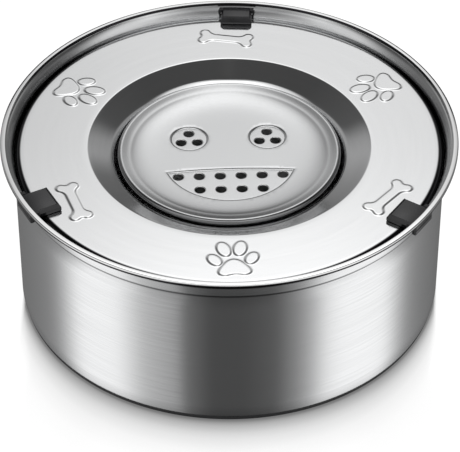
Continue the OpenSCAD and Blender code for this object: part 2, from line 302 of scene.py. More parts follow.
def steel(name, dark, light, rough, lines, bump_height=0.0, stretch=0.0, groove=None, polish_and_highlight=None):
    """Sheet steel: lines are the brush group's values, rough a pair for its two ends.

    Groove and polish make masks from the radius, the height and the depth: groove lays painted shade
    where the sheet turns into a narrow gap, and where it is rolled polish makes it smoother and paler, the
    paler colour a painted highlight.
    """
    material, tree, shader = new_material(name)
    brush = node(tree, "ShaderNodeGroup", node_tree=BRUSH_LINES)
    for key, value in lines.items():
        brush.inputs[key].default_value = value
    streak = brush.outputs["Streak"]
    place = tree, brush.outputs["Radius"], brush.outputs["Height"], brush.outputs["Depth"]
    shader.inputs["Metallic"].default_value = 1.0
    shader.inputs["Anisotropic"].default_value = stretch
    if stretch:
        shader.inputs["Anisotropic Rotation"].default_value = 0.25
        tangent = node(tree, "ShaderNodeTangent", direction_type="RADIAL", axis="Z")
        tree.links.new(tangent.outputs[0], shader.inputs["Tangent"])
    colour = shade(tree, streak, dark, light)
    blur = ramp(tree, streak, rough[1], rough[0])
    if polish_and_highlight:
        rolled = polish_and_highlight(*place)
        # Painted highlight: the rolled edge's colour is blended towards a pale grey
        colour = mix(tree, product(tree, rolled, ROLLED_HIGHLIGHT_SHARE), colour, ROLLED_HIGHLIGHT_COLOUR)
        blur = product(tree, blur, math_node(tree, "MULTIPLY_ADD", rolled, -ROLLED_SMOOTH, 1.0))
    if groove:
        # Painted shade: the colour is blended towards near black where the groove mask lies
        colour = mix(tree, groove(*place), colour, PAINTED_SHADE_COLOUR)
    join(tree, (colour, shader.inputs["Base Color"]), (blur, shader.inputs["Roughness"]))
    if bump_height:
        bump(tree, shader, streak, 1.0, bump_height)
    return material


def plastic(name, dark, light, rough, grain, depth):
    """Moulded plastic or rubber with a fine skin grain."""
    material, tree, shader = new_material(name)
    place = node(tree, "ShaderNodeTexCoord")
    skin = node(tree, "ShaderNodeTexNoise", {"Scale": grain, "Detail": 3.0, "Roughness": 0.6})
    cloud = node(tree, "ShaderNodeTexNoise", {"Scale": 90.0, "Detail": 2.0})
    join(
        tree,
        (place.outputs["Object"], skin.inputs["Vector"]),
        (place.outputs["Object"], cloud.inputs["Vector"]),
        (shade(tree, cloud.outputs["Fac"], dark, light), shader.inputs["Base Color"]),
        (ramp(tree, cloud.outputs["Fac"], *rough), shader.inputs["Roughness"]),
    )
    bump(tree, shader, skin.outputs["Fac"], 0.4, depth)
    return material


def bowl_polish_and_highlight(tree, radius, height, depth):
    """The rolled bead of the rim: smoother, with a paler colour that is a painted highlight."""
    return rises(tree, height, BEAD_Z, BEAD_Z + 0.2)


def bowl_painted_shade(tree, radius, height, depth):
    """Painted shade of the bowl: round the rolled rim, in the mouth, at the step and at the foot."""
    def tall(start, full, last, end):
        return between(tree, height, start, full, last, end)

    def deep(start, full, last, end):
        return between(tree, depth, start, full, last, end)

    across = math_node(tree, "SUBTRACT", radius, flare_x * MM)
    up = math_node(tree, "SUBTRACT", height, FLARE_Z * MM)
    squares = math_node(tree, "ADD", product(tree, across, across), product(tree, up, up))
    outer = falls(tree, math_node(tree, "SQRT", squares), flare_r - 0.4, flare_r - 0.3)
    inner = math_node(tree, "SUBTRACT", 1.0, outer)
    under_flare = product(tree, outer, tall(FLARE_Z + 0.2, FLARE_Z + 0.8, BOWL_H - 1.0, BOWL_H - 0.5))
    bead_side = product(
        tree, rises(tree, radius, RIM_R - 0.7, RIM_R - 0.4),
        tall(BEAD_Z - 0.9, BEAD_Z - 0.4, BOWL_H - 0.85, BOWL_H - 0.6),
    )
    bead_inside = product(
        tree, rises(tree, height, BEAD_Z + 0.6, BEAD_Z + 1.0),
        falls(tree, radius, RIM_R - 2.6, RIM_R - 2.4), rises(tree, depth, 10, 50),
    )
    bead_edge = product(
        tree, rises(tree, radius, RIM_R - 1.15, RIM_R - 1.0),
        rises(tree, height, BEAD_Z + 0.9, BEAD_Z + 1.1), deep(-5, 25, 100, 140), 0.97,
    )
    bead_ends = product(tree, deep(-75, -45, 45, 80), 0.2, bowl_polish_and_highlight(tree, radius, height, depth))
    collar_gap = product(
        tree, tall(LEDGE_Z - 0.3, LEDGE_Z + 0.1, FLARE_Z + 1.0, FLARE_Z + 2.8),
        falls(tree, radius, COLLAR_IN + 0.3, COLLAR_IN + 0.55), falls(tree, depth, 70, 105),
    )
    mouth_sides = product(
        tree, tall(FLARE_Z + 1.0, FLARE_Z + 2.0, BEAD_Z - 0.2, BEAD_Z + 0.1), inner,
        deep(-5, 25, 60, 95), 0.45,
    )
    mouth_back = product(
        tree, tall(FLARE_Z + 2.6, FLARE_Z + 4.4, BEAD_Z + 0.6, BEAD_Z + 1.0), inner,
        rises(tree, depth, 110, 118, 0.7),
    )
    # Painted shadow under the step, and painted shade that darkens the wall towards its foot
    step = product(tree, tall(STEP_Z - 1.8, STEP_Z - 1.3, STEP_Z + 0.3, STEP_Z + 0.7), 0.7)
    shadow = falls(tree, height, 2.0, 10.0, 0.3)
    for mask in (step, under_flare, bead_side, bead_inside, bead_edge, bead_ends,
                 collar_gap, mouth_sides, mouth_back):
        shadow = math_node(tree, "MAXIMUM", shadow, mask)
    return shadow


def ring_painted_shade(tree, radius, height, depth):
    """Painted shade on the shoulder of the ring, where it goes down into the gap, but not behind."""
    shoulder = between(tree, radius, RING_R - 4.1, RING_R - 3.2, RING_R - 1.4, RING_R - 0.6)
    return product(tree, shoulder, falls(tree, depth, 45, 85))


def float_painted_shade(tree, radius, height, depth):
    """Painted shade on the outer roll of the float's lip, where it goes down into the gap in front."""
    roll = rises(tree, radius, FLOAT_R - 1.1, FLOAT_R - 0.8, 0.7)
    return product(tree, roll, falls(tree, depth, 0, 30))


BOWL_STEEL = steel(
    "bowl_brushed_steel", (0.64, 0.645, 0.65), (0.70, 0.705, 0.71), (0.18, 0.25),
    {"Round": 2.2, "Fine": 1800.0},
    bump_height=0.0000015, stretch=0.75, groove=bowl_painted_shade, polish_and_highlight=bowl_polish_and_highlight,
)
RING_STEEL = steel(
    "ring_polished_steel", (0.765, 0.77, 0.775), (0.795, 0.80, 0.805), (0.09, 0.12),
    {"Round": 2.0, "Fine": 260.0}, groove=ring_painted_shade,
)
FLOAT_STEEL = steel(
    "float_satin_steel", (0.62, 0.625, 0.63), (0.64, 0.645, 0.65), (0.18, 0.22),
    {"Round": 60.0, "Fine": 900.0}, bump_height=0.0000005, groove=float_painted_shade,
)
PAN_STEEL = steel(
    "pan_matt_steel", (0.58, 0.585, 0.59), (0.66, 0.665, 0.67), (0.7, 0.9),
    {"Round": 60.0, "Fine": 900.0}, bump_height=0.0000005,
)
LATCH_PLASTIC = plastic(
    "latch_gloss_plastic", (0.012, 0.012, 0.013), (0.022, 0.022, 0.024), (0.18, 0.28), 1800.0, 0.00002
)
LINER_PLASTIC = plastic(
    "liner_matte_plastic", (0.014, 0.014, 0.015), (0.024, 0.024, 0.026), (0.45, 0.6), 1600.0, 0.00003
)
FOOT_RUBBER = plastic(
    "foot_rubber", (0.010, 0.010, 0.011), (0.020, 0.020, 0.022), (0.6, 0.8), 1200.0, 0.00005
)
SEAL_SILICONE = plastic(
    "seal_silicone", (0.02, 0.02, 0.022), (0.03, 0.03, 0.032), (0.4, 0.55), 1500.0, 0.00002
)


# Turned pieces: a profile of radius and height, carried round the Z axis

def cut_slots(tree, enter, mesh):
    """Nodes that cut blocks out of a mesh, even turns apart but for the last, which leans."""
    slots = enter.outputs["Slots"]
    which = node(tree, "GeometryNodeInputIndex").outputs[0]
    gap = math_node(tree, "DIVIDE", math.tau, slots)
    turn = math_node(tree, "MULTIPLY_ADD", which, gap, enter.outputs["First slot"])
    is_last = math_node(tree, "COMPARE", which, math_node(tree, "SUBTRACT", slots, 1.0), 0.5)
    angle = math_node(tree, "MULTIPLY_ADD", is_last, enter.outputs["Last slot lean"], turn)
    block = node(tree, "GeometryNodeMeshCube")
    move = node(tree, "GeometryNodeTransform")
    points = node(tree, "GeometryNodePoints")
    spin = node(tree, "ShaderNodeCombineXYZ")
    copies = node(tree, "GeometryNodeInstanceOnPoints")
    solid = node(tree, "GeometryNodeRealizeInstances")
    cut = node(tree, "GeometryNodeMeshBoolean", operation="DIFFERENCE", solver="EXACT")
    join(
        tree,
        (enter.outputs["Slot size"], block.inputs["Size"]),
        (block.outputs["Mesh"], move.inputs["Geometry"]),
        (enter.outputs["Slot place"], move.inputs["Translation"]),
        (slots, points.inputs["Count"]),
        (angle, spin.inputs["Z"]),
        (points.outputs[0], copies.inputs["Points"]),
        (move.outputs[0], copies.inputs["Instance"]),
        (spin.outputs[0], copies.inputs["Rotation"]),
        (copies.outputs[0], solid.inputs[0]),
        (mesh, cut.inputs["Mesh 1"]),
        (solid.outputs[0], cut.inputs["Mesh 2"]),
    )
    return cut.outputs["Mesh"]


def revolve_tree(name, slotted=False):
    """Geometry nodes that carry the object's points, read as a profile, round the Z axis."""
    tree = bpy.data.node_groups.new(name, "GeometryNodeTree")
    inputs = [("Profile", "Geometry"), ("Segments", "Int"), ("Finish", "Material")]
    if slotted:
        inputs += [("Slots", "Int"), ("Slot size", "Vector"), ("Slot place", "Vector"),
                   ("First slot", "Float"), ("Last slot lean", "Float")]
    for label, kind in inputs:
        tree.interface.new_socket(label, in_out="INPUT", socket_type="NodeSocket" + kind)
    tree.interface.new_socket("Mesh", in_out="OUTPUT", socket_type="NodeSocketGeometry")
    enter = node(tree, "NodeGroupInput")
    leave = node(tree, "NodeGroupOutput")
    profile, segments = enter.outputs["Profile"], enter.outputs["Segments"]
    count = node(tree, "GeometryNodeAttributeDomainSize", component="MESH")
    points = count.outputs["Point Count"]
    index = node(tree, "GeometryNodeInputIndex").outputs[0]
    column = math_node(tree, "FLOOR", math_node(tree, "DIVIDE", index, points))
    angle = product(tree, column, math_node(tree, "DIVIDE", math.tau, segments))
    grid = node(tree, "GeometryNodeMeshGrid")
    place = node(tree, "GeometryNodeInputPosition")
    sample = node(tree, "GeometryNodeSampleIndex", data_type="FLOAT_VECTOR", domain="POINT")
    parts = node(tree, "ShaderNodeSeparateXYZ")
    spot = node(tree, "ShaderNodeCombineXYZ")
    put = node(tree, "GeometryNodeSetPosition")
    merge = node(tree, "GeometryNodeMergeByDistance", {"Distance": 1e-6})
    finish = node(tree, "GeometryNodeSetMaterial")
    join(
        tree,
        (profile, count.inputs[0]),
        (math_node(tree, "ADD", segments, 1.0), grid.inputs["Vertices X"]),
        (points, grid.inputs["Vertices Y"]),
        (profile, sample.inputs["Geometry"]),
        (place.outputs[0], sample.inputs["Value"]),
        (math_node(tree, "MODULO", index, points), sample.inputs["Index"]),
        (sample.outputs["Value"], parts.inputs[0]),
        (product(tree, parts.outputs["X"], math_node(tree, "COSINE", angle)), spot.inputs["X"]),
        (product(tree, parts.outputs["X"], math_node(tree, "SINE", angle)), spot.inputs["Y"]),
        (parts.outputs["Z"], spot.inputs["Z"]),
        (grid.outputs["Mesh"], put.inputs["Geometry"]),
        (spot.outputs[0], put.inputs["Position"]),
        (put.outputs[0], merge.inputs["Geometry"]),
        (enter.outputs["Finish"], finish.inputs["Material"]),
        (finish.outputs[0], leave.inputs[0]),
    )
    mesh = merge.outputs[0]
    if slotted:
        mesh = cut_slots(tree, enter, mesh)
    tree.links.new(mesh, finish.inputs["Geometry"])
    return tree


REVOLVE = revolve_tree("Revolve")
REVOLVE_SLOTTED = revolve_tree("Revolve with slots", slotted=True)


def turned(name, profile, segments, material, body, nodes, slots=None):
    """A turned piece from a profile in millimetres that runs so that its left side is inside."""
    piece = new_piece(name, [(r, 0, z) for r, z in profile], [])
    tree = REVOLVE_SLOTTED if slots else REVOLVE
    values = {"Segments": segments, "Finish": material, **(slots or {})}
    modifier = piece.modifiers.new("Turn", "NODES")
    modifier.node_group = tree
    for item in tree.interface.items_tree:
        if item.in_out == "INPUT" and item.name in values:
            modifier[item.identifier] = values[item.name]
    bake(piece)
    face_out(piece.data)
    finish_piece(piece, body, nodes)


wall_in = WALL_R - WALL_T
corner_x, corner_z = WALL_R - CORNER_R, FOOT_H + CORNER_R
bowl_profile = (
    [(0, FOOT_H)] + line((0, FOOT_H), (corner_x, FOOT_H), 8)
    + arc(corner_x, corner_z, CORNER_R, -90, 0, 10)[1:]
    + line((WALL_R, corner_z), (WALL_R, STEP_Z - STEP_BEND), 8)
    + arc(WALL_R + STEP_BEND, STEP_Z - STEP_BEND, STEP_BEND, 180, 90, 3)[1:]
    + arc(COLLAR_OUT - COLLAR_BEND, STEP_Z + COLLAR_BEND, COLLAR_BEND, -90, 0, 5)
    + arc(flare_x, FLARE_Z, flare_r - WALL_T, 180, low_a, 16)
    + arc(RIM_R - BEAD_R, BEAD_Z + BEAD_R, BEAD_R, -90, 0, 8)
    + arc(RIM_R - BEAD_R, BOWL_H - BEAD_R, BEAD_R, 0, 90, 8)
    + arc(RIM_R - BEAD_W + BEAD_R, BOWL_H - BEAD_R, BEAD_R, 90, 180, 8)
    + arc(flare_x, FLARE_Z, flare_r, top_a, 180, 18)
    + arc(COLLAR_IN - LEDGE_BEND, LEDGE_Z + LEDGE_BEND, LEDGE_BEND, 0, -90, 3)
    + arc(wall_in + STEP_BEND, LEDGE_Z - STEP_BEND, STEP_BEND, 90, 180, 4)
    + line((wall_in, LEDGE_Z - STEP_BEND), (wall_in, corner_z), 8)
    + arc(corner_x, corner_z, CORNER_R - WALL_T, 0, -90, 8)[1:]
    + line((corner_x, FOOT_H + WALL_T), (0, FOOT_H + WALL_T), 8)
)
even_last = STATIONS["back"][0] + 2 * 360.0 / len(STATIONS)
turned(
    "bowl_shell", bowl_profile, 320, BOWL_STEEL, "bowl", ["bowl_body"],
    slots={
        "Slots": len(STATIONS),
        "Slot size": (SLOT_REACH * MM, 2 * SLOT_HALF * MM, (BEAD_Z - SLOT_Z) * MM),
        "Slot place": (SLOT_AT * MM, 0.0, (BEAD_Z + SLOT_Z) / 2 * MM),
        "First slot": math.radians(STATIONS["back"][0]),
        "Last slot lean": math.radians(STATIONS["right"][0] - even_last),
    },
)

foot_out = corner_x + CORNER_R * math.cos(math.radians(45))
foot_in = foot_out - FOOT_W
groove = ((-0.6, 0.0), (-0.35, FOOT_GROOVE), (0.35, FOOT_GROOVE), (0.6, 0.0))
foot_profile = [(foot_in, 0.0)]
for at in (3.0, 6.0, 9.0):
    foot_profile += [(foot_in + at + x, z) for x, z in groove]
foot_profile += (
    [(foot_out - 0.4, 0.0), (foot_out - 0.12, 0.12), (foot_out, 0.4)]
    + arc(corner_x, corner_z, CORNER_R + 0.01, -45, -90, 5)
    + [(foot_in, FOOT_H), (foot_in, 0.0)]
)
turned("foot_ring_rubber", foot_profile, 256, FOOT_RUBBER, "bowl", ["foot_ring"])


# Splash ring: turned edge and funnel round a flat with raised prints

def outline_distance(points, outline):
    """How far points lie inside a closed outline, negative outside."""
    a = np.array(outline)
    b = np.roll(a, -1, axis=0)
    best = np.full(len(points), 1e9)
    inside = np.zeros(len(points), dtype=bool)
    for p, q in zip(a, b):
        d = q - p
        t = np.clip(((points - p) @ d) / (d @ d), 0, 1)
        best = np.minimum(best, np.linalg.norm(points - p - t[:, None] * d, axis=1))
        cross = (p[1] > points[:, 1]) != (q[1] > points[:, 1])
        at = p[0] + (points[:, 1] - p[1]) * d[0] / d[1] if d[1] else points[:, 0]
        inside ^= cross & (points[:, 0] < at)
    return np.where(inside, best, -best)


def oval(cx, cy, a, b, turn):
    """Points round an oval with half axes a and b, turned by degrees."""
    c, s = math.cos(math.radians(turn)), math.sin(math.radians(turn))
    ring = [(a * x, b * y) for x, y in circle_loop(0, 0, 1, 40)]
    return [(cx + c * x - s * y, cy + s * x + c * y) for x, y in ring]


def smooth_loop(points, n):
    """A closed line drawn smoothly through points, n steps from one to the next."""
    p = np.array(points)
    a, c, d = np.roll(p, 1, axis=0), np.roll(p, -1, axis=0), np.roll(p, -2, axis=0)
    drawn = []
    for t in np.arange(n) / n:
        bend = t ** 2 * (2 * a - 5 * p + 4 * c - d) + t ** 3 * (3 * p - a - 3 * c + d)
        drawn.append(p + (t * (c - a) + bend) / 2)
    return np.stack(drawn, axis=1).reshape(-1, 2)


def bone_outline():
    """A bone along X with a straight shaft and two knuckles at each end."""
    kx, ky, kr, shaft, fillet, notch = 12.6, 3.4, 3.0, 3.0, 5.0, 2.5
    fillet_a = math.degrees(math.asin((shaft + fillet - ky) / (kr + fillet)))
    fillet_x = kx - (kr + fillet) * math.cos(math.radians(fillet_a))
    notch_a = math.degrees(math.asin(ky / (kr + notch)))
    notch_x = kx + (kr + notch) * math.cos(math.radians(notch_a))
    quarter = [(0, shaft)] + arc(fillet_x, shaft + fillet, fillet, -90, -fillet_a, 8)
    quarter += arc(kx, ky, kr, 180 - fillet_a, -notch_a, 18)[1:]
    quarter += arc(notch_x, 0, notch, 180 - notch_a, 180, 5)[1:]
    half = quarter + [(x, -y) for x, y in reversed(quarter[:-1])]
    return half + [(-x, -y) for x, y in half[1:-1]]


PAD_HALF = [(0, -0.6), (2, -1.1), (3.95, -2.4), (5.7, -4.4), (7.25, -6.6), (8.5, -9), (8.85, -10.8),
            (8.2, -12.4), (6.4, -13.4), (4.6, -13.6), (2.6, -13.1), (0, -12.7)]
PAW = [oval(s * 4.3, 7.3, 3.8, 6.1, s * -14) for s in (-1, 1)]
PAW += [oval(s * 9.75, -0.8, 3.5, 5.2, s * -30) for s in (-1, 1)]
PAW += [smooth_loop(PAD_HALF + [(-x, y) for x, y in reversed(PAD_HALF[1:-1])], 4)]
BONE = [bone_outline()]


def pressed_height(points, outlines):
    """Height of a print pressed up out of the sheet, with softly rounded sides."""
    deep = np.max([outline_distance(points, o) for o in outlines], axis=0)
    side = np.clip(deep / PRINT_SIDE + PRINT_SPREAD, 0, 1)
    return PRINT_H * side * side * (3 - 2 * side)


def print_lift(station, radii, offsets):
    """Heights of a station's print over a grid of radii and angles: paws and bones take turns."""
    outlines, turn, at = (BONE, BONE_TURN, BONE_AT) if station % 2 else (PAW, PAW_TURN, PAW_AT)
    rr, dd = np.meshgrid(radii, offsets, indexing="ij")
    local = np.stack([rr * np.sin(dd), at - rr * np.cos(dd)], axis=-1).reshape(-1, 2)
    c, s = math.cos(turn), math.sin(turn)
    lift = pressed_height(local @ np.array([[c, -s], [s, c]]), outlines).reshape(rr.shape)
    lift[0, :] = lift[-1, :] = lift[:, 0] = lift[:, -1] = 0
    return lift


def ring_sections():
    """The shoulder from the ledge up to the flat, and the funnel from the flat down into the throat."""
    slope = math.radians(FUNNEL_A)
    edge_x = OPENING_R + EDGE_BEND * math.tan(slope / 2)
    funnel = arc(edge_x, RING_Z - EDGE_BEND, EDGE_BEND, 90, 90 + FUNNEL_A, 6)
    bend_x = THROAT_R + THROAT_BEND * (1 - math.sin(slope))
    bend_z = funnel[-1][1] - (funnel[-1][0] - bend_x) * math.tan(slope)
    funnel += line(funnel[-1], (bend_x, bend_z), 6)
    centre_z = bend_z - THROAT_BEND * math.cos(slope)
    funnel += arc(THROAT_R + THROAT_BEND, centre_z, THROAT_BEND, 90 + FUNNEL_A, 180, 12)[1:]
    funnel += line(funnel[-1], (THROAT_R, RING_Z - THROAT_H), 3)
    shoulder = [(RING_R, LEDGE_Z)]
    shoulder += arc(RING_R - SHOULDER_R, RING_Z - SHOULDER_R, SHOULDER_R, 0, 90, 16)
    return shoulder, funnel


def splash_ring():
    """The ring's sheet, in columns all round, with a patch of finer columns under each print."""
    # A patch reaches 8 columns to each side of its print, with 5 fine ones to a column
    columns, fine, reach = 288, 5, 8
    # It goes from the low to the high radius in rows
    low, high, rows = 81.0, 112.2, 74
    step = math.tau / columns
    verts, faces = [], []

    def add(r, a, z):
        verts.append((r * math.cos(a + RING_TURN), r * math.sin(a + RING_TURN), z))
        return len(verts) - 1

    def rings(section):
        """Rings of points for a section, with faces between them."""
        made = [[add(r, i * step, z) for i in range(columns)] for r, z in section]
        for outer, inner in zip(made, made[1:]):
            for i in range(columns):
                j = (i + 1) % columns
                faces.append((outer[i], outer[j], inner[j], inner[i]))
        return made

    shoulder, funnel = ring_sections()
    rims = rings(shoulder)
    holes = rings(funnel)

    radii = np.linspace(high, low, rows + 1)
    offsets = np.arange(-reach * fine, reach * fine + 1) * step / fine
    in_patch = {}
    for station in range(6):
        centre = (station * 60 + 30) * columns // 360
        lift = print_lift(station, radii, offsets)
        ids = [[add(r, centre * step + offset, RING_Z + z) for offset, z in zip(offsets, row)]
               for r, row in zip(radii, lift)]
        for upper, lower in zip(ids, ids[1:]):
            for j in range(len(offsets) - 1):
                faces.append((upper[j], upper[j + 1], lower[j + 1], lower[j]))
        for k in range(-reach, reach):
            in_patch[(centre + k) % columns] = (ids, (k + reach) * fine)

    corners = {}

    def corner(i, top):
        """The point on the edge of the flat's middle band at a column line."""
        i %= columns
        for column, at in ((i, 0), ((i - 1) % columns, fine)):
            if column in in_patch:
                ids, start = in_patch[column]
                return ids[0 if top else -1][start + at]
        key = (i, top)
        if key not in corners:
            corners[key] = add(high if top else low, i * step, RING_Z)
        return corners[key]

    for i in range(columns):
        h, j = (i - 1) % columns, (i + 1) % columns
        if i in in_patch:
            ids, start = in_patch[i]
            upper, lower = (ids[row][start:start + fine + 1] for row in (0, -1))
        else:
            upper, lower = ([corner(i, top), corner(j, top)] for top in (True, False))
            left = [row[-1] for row in in_patch[h][0]] if h in in_patch else []
            right = [row[0] for row in in_patch[j][0]] if j in in_patch else []
            faces.append((*upper, *right[1:-1], *reversed(lower), *reversed(left[1:-1])))
        faces.append((rims[-1][i], rims[-1][j], *reversed(upper)))
        faces.append((*lower, holes[0][j], holes[0][i]))

    piece = new_piece("splash_ring_sheet", verts, faces, RING_STEEL)
    thicken(piece, RING_T, even=True)
    finish_piece(piece, "bowl", ["splash_ring"], 40.0)


splash_ring()


# Float: dish with a recessed face and drain holes, in a rolled lip

def dish_height(x, y):
    """The dish, nearly flat in the middle and rising towards the crease."""
    share = (x * x + y * y) / CREASE_R ** 2
    return DISH_Z + DISH_D * (0.05 * share + 0.95 * share ** 4)


def mouth_loop(grow):
    """The outline of the mouth: a deep arc below and a shallow one above."""
    low_r = (MOUTH_HALF ** 2 + MOUTH_DEEP ** 2) / (2 * MOUTH_DEEP)
    top_r = (MOUTH_HALF ** 2 + MOUTH_BOW ** 2) / (2 * MOUTH_BOW)
    low_y, top_y = MOUTH_Y - MOUTH_DEEP + low_r, MOUTH_Y + MOUTH_BOW - top_r
    low_r, top_r = low_r + grow, top_r + grow
    y = ((low_r ** 2 - top_r ** 2) - (low_y ** 2 - top_y ** 2)) / (2 * (top_y - low_y))
    x = math.sqrt(low_r ** 2 - (y - low_y) ** 2)
    a = math.degrees(math.atan2(y - low_y, x))
    b = math.degrees(math.atan2(y - top_y, x))
    return arc(0, low_y, low_r, 180 - a, 360 + a, 90)[:-1] + arc(0, top_y, top_r, b, 180 - b, 56)[:-1]


def recess_loops(grow):
    """The outlines of the mouth and the two eyes, widened all round."""
    return [mouth_loop(grow)] + [circle_loop(s * EYE_X, EYE_Y, EYE_R + grow, 80) for s in (-1, 1)]


DRAINS = [(s * EYE_X + x, EYE_Y + y) for s in (-1, 1) for x, y in arc(0, 0, EYE_HOLE_R, 90, 330, 2)]
for drop, count in ((HOLE_ROW, 6), (HOLE_ROW + HOLE_PITCH, 4)):
    DRAINS += [((i - (count - 1) / 2) * HOLE_PITCH, MOUTH_Y - drop) for i in range(count)]


def face_lines():
    """Points, heights and edges of the lines in the face: its border, the recesses and the drain holes."""
    flat, heights, edges = [], [], []

    def loop(points, height):
        first = len(flat)
        flat.extend(points)
        heights.extend([height(x, y) for x, y in points])
        edges.extend((first + i, first + (i + 1) % len(points)) for i in range(len(points)))

    def dish(drop):
        return lambda x, y: dish_height(x, y) - drop

    def floor(rise):
        return lambda x, y: FLOOR_Z + rise

    loop(circle_loop(0, 0, FACE_R, FLOAT_COLUMNS), dish(0))
    for grow, height in ((1.0, dish(0)), (0.75, dish(0.04)), (0.35, dish(0.14)), (0.08, dish(0.3)),
                         (-0.08, floor(0.2)), (-0.22, floor(0.05)), (-0.42, floor(0))):
        for points in recess_loops(grow):
            loop(points, height)
    for x, y in DRAINS:
        for grow, rise in ((0.3, 0.0), (0.16, 0.0), (0.08, -0.03), (0.0, -0.12)):
            loop(circle_loop(x, y, HOLE_R + grow, 32), floor(rise))
    return flat, heights, edges


def face_spots():
    """Points that fill the face between its lines, with their heights."""
    across, along = 2.2, 1.9
    # How far they keep from the border, and from the recesses' lines outside and inside
    border, outside, inside = 1.2, 1.4, 1.0
    spots = np.array([((x + (row % 2) / 2) * across, row * along)
                      for row in range(-24, 25) for x in range(-21, 22)])
    spots = spots[np.hypot(spots[:, 0], spots[:, 1]) < FACE_R - border]
    deep = np.max([outline_distance(spots, points) for points in recess_loops(0)], axis=0)
    hole = np.min([np.hypot(spots[:, 0] - x, spots[:, 1] - y) for x, y in DRAINS], axis=0)
    made = []
    for (x, y), d, h in zip(spots, deep, hole):
        if d < -outside or (d > inside and h > HOLE_R + inside):
            made.append(((x, y), dish_height(x, y) if d < 0 else FLOOR_Z))
    return made


def float_face():
    """The dish inside FACE_R in triangles, with open drain holes."""
    flat, heights, edges = face_lines()
    for spot, height in face_spots():
        flat.append(spot)
        heights.append(height)
    flat = [Vector(p) for p in flat]
    found, _, triangles, origin, _, _ = delaunay_2d_cdt(flat, edges, [], 0, 1e-6, True)
    level = [heights[ids[0]] if ids else FLOOR_Z for ids in origin]
    verts = [(p[0], p[1], z) for p, z in zip(found, level)]
    faces = []
    for triangle in triangles:
        cx, cy = (sum(found[i][axis] for i in triangle) / 3 for axis in (0, 1))
        in_hole = min(math.hypot(cx - x, cy - y) for x, y in DRAINS) < HOLE_R * 0.98
        if math.hypot(cx, cy) <= FACE_R and not in_hole:
            faces.append(tuple(triangle))
    return verts, faces


def float_section():
    """The dish from FACE_R outwards, the slope up to the lip, the rolled lip and the hem below it."""
    slope = ((7.2, 1.14), (6.6, 1.02), (6.0, 0.93), (5.4, 0.83), (4.8, 0.71), (4.2, 0.58),
             (3.7, 0.46), (3.2, 0.34), (2.75, 0.23), (2.35, 0.13))
    hem = ((0, 2.4), (0, 3.2), (0.1, 3.42), (0.3, 3.5), (2.6, 3.5))
    section = [(r, dish_height(r, 0)) for r in (FACE_R, 45.5, 47.0, 48.5, 50.0, 51.0, 52.0, 53.0)]
    section += [(FLOAT_R - x, LIP_Z - drop) for x, drop in slope]
    section += arc(FLOAT_R - LIP_R, LIP_Z - LIP_R, LIP_R, 103, 0, 14)
    return section + [(FLOAT_R - x, LIP_Z - drop) for x, drop in hem]


def float_plate():
    verts, faces = float_face()
    section = float_section()
    first = len(verts)
    for r, z in section:
        verts.extend((x, y, z) for x, y in circle_loop(0, 0, r, FLOAT_COLUMNS))
    for k in range(len(section) - 1):
        a, b = first + k * FLOAT_COLUMNS, first + (k + 1) * FLOAT_COLUMNS
        for i in range(FLOAT_COLUMNS):
            j = (i + 1) % FLOAT_COLUMNS
            faces.append((a + i, b + i, b + j, a + j))
    c, s = math.cos(FLOAT_TURN), math.sin(FLOAT_TURN)
    verts = [(c * x - s * y, s * x + c * y, z) for x, y, z in verts]
    piece = new_piece("float_dish", verts, faces, FLOAT_STEEL)
    work = bmesh.new()
    work.from_mesh(piece.data)
    bmesh.ops.remove_doubles(work, verts=work.verts, dist=2e-6)
    bmesh.ops.recalc_face_normals(work, faces=work.faces)
    top = max(work.faces, key=lambda f: f.calc_area())
    if top.normal.z < 0:
        bmesh.ops.reverse_faces(work, faces=work.faces)
    work.to_mesh(piece.data)
    work.free()
    thicken(piece, FLOAT_T)
    finish_piece(piece, "float", ["float_top_plate"], 35.0)


float_plate()


# Latches: a bevelled tongue over the ring and a grip outside the wall

def prism(section, start, end, along):
    """A prism of a section of (out, up) points set across, or of (across, up) points set along."""
    ends = [[(at, p, z) if along else (p, at, z) for p, z in section] for at in (start, end)]
    n = len(section)
    faces = [tuple(range(n)), tuple(range(2 * n - 1, n - 1, -1))]
    faces += [(i, n + i, n + (i + 1) % n, (i + 1) % n) for i in range(n)]
    return ends[0] + ends[1], faces


def moulded(name, solids, station, material, body, nodes, edge):
    """Solids with rounded edges, turned to their station and drawn out."""
    verts, faces = [], []
    for points, sides in solids:
        faces += [tuple(len(verts) + i for i in side) for side in sides]
        verts += points
    angle, out = station
    turn = Matrix.Rotation(math.radians(angle), 3, "Z")
    piece = new_piece(name, [turn @ Vector((x + out, y, z)) for x, y, z in verts], faces, material)
    face_out(piece.data)
    bevel = piece.modifiers.new("Rounded edges", "BEVEL")
    bevel.width = edge * MM
    bevel.segments = 3
    bevel.limit_method = "ANGLE"
    bevel.angle_limit = math.radians(20)
    bevel.use_clamp_overlap = True
    bake(piece)
    finish_piece(piece, body, nodes, 45.0)


def tongue():
    """A tongue with upright sides below and bevelled sides and nose above."""
    end = GRIP_R - 0.01
    levels = ((SLIDE_Z, NOSE_R, SLIDE_W / 2), (SLIDE_TOP - SLIDE_BEVEL, NOSE_R, SLIDE_W / 2),
              (SLIDE_TOP, NOSE_R + NOSE_IN, SLIDE_FLAT / 2))
    verts = []
    for z, nose, half in levels:
        verts += [(nose, -half, z), (end, -half, z), (end, half, z), (nose, half, z)]
    faces = [(0, 1, 2, 3), (11, 10, 9, 8)]
    for k in (0, 4):
        faces += [(k + i, k + 4 + i, k + 4 + (i + 1) % 4, k + (i + 1) % 4) for i in range(4)]
    return verts, faces


def oblong(v0, v1, z0, z1):
    return [(v0, z0), (v1, z0), (v1, z1), (v0, z1)]


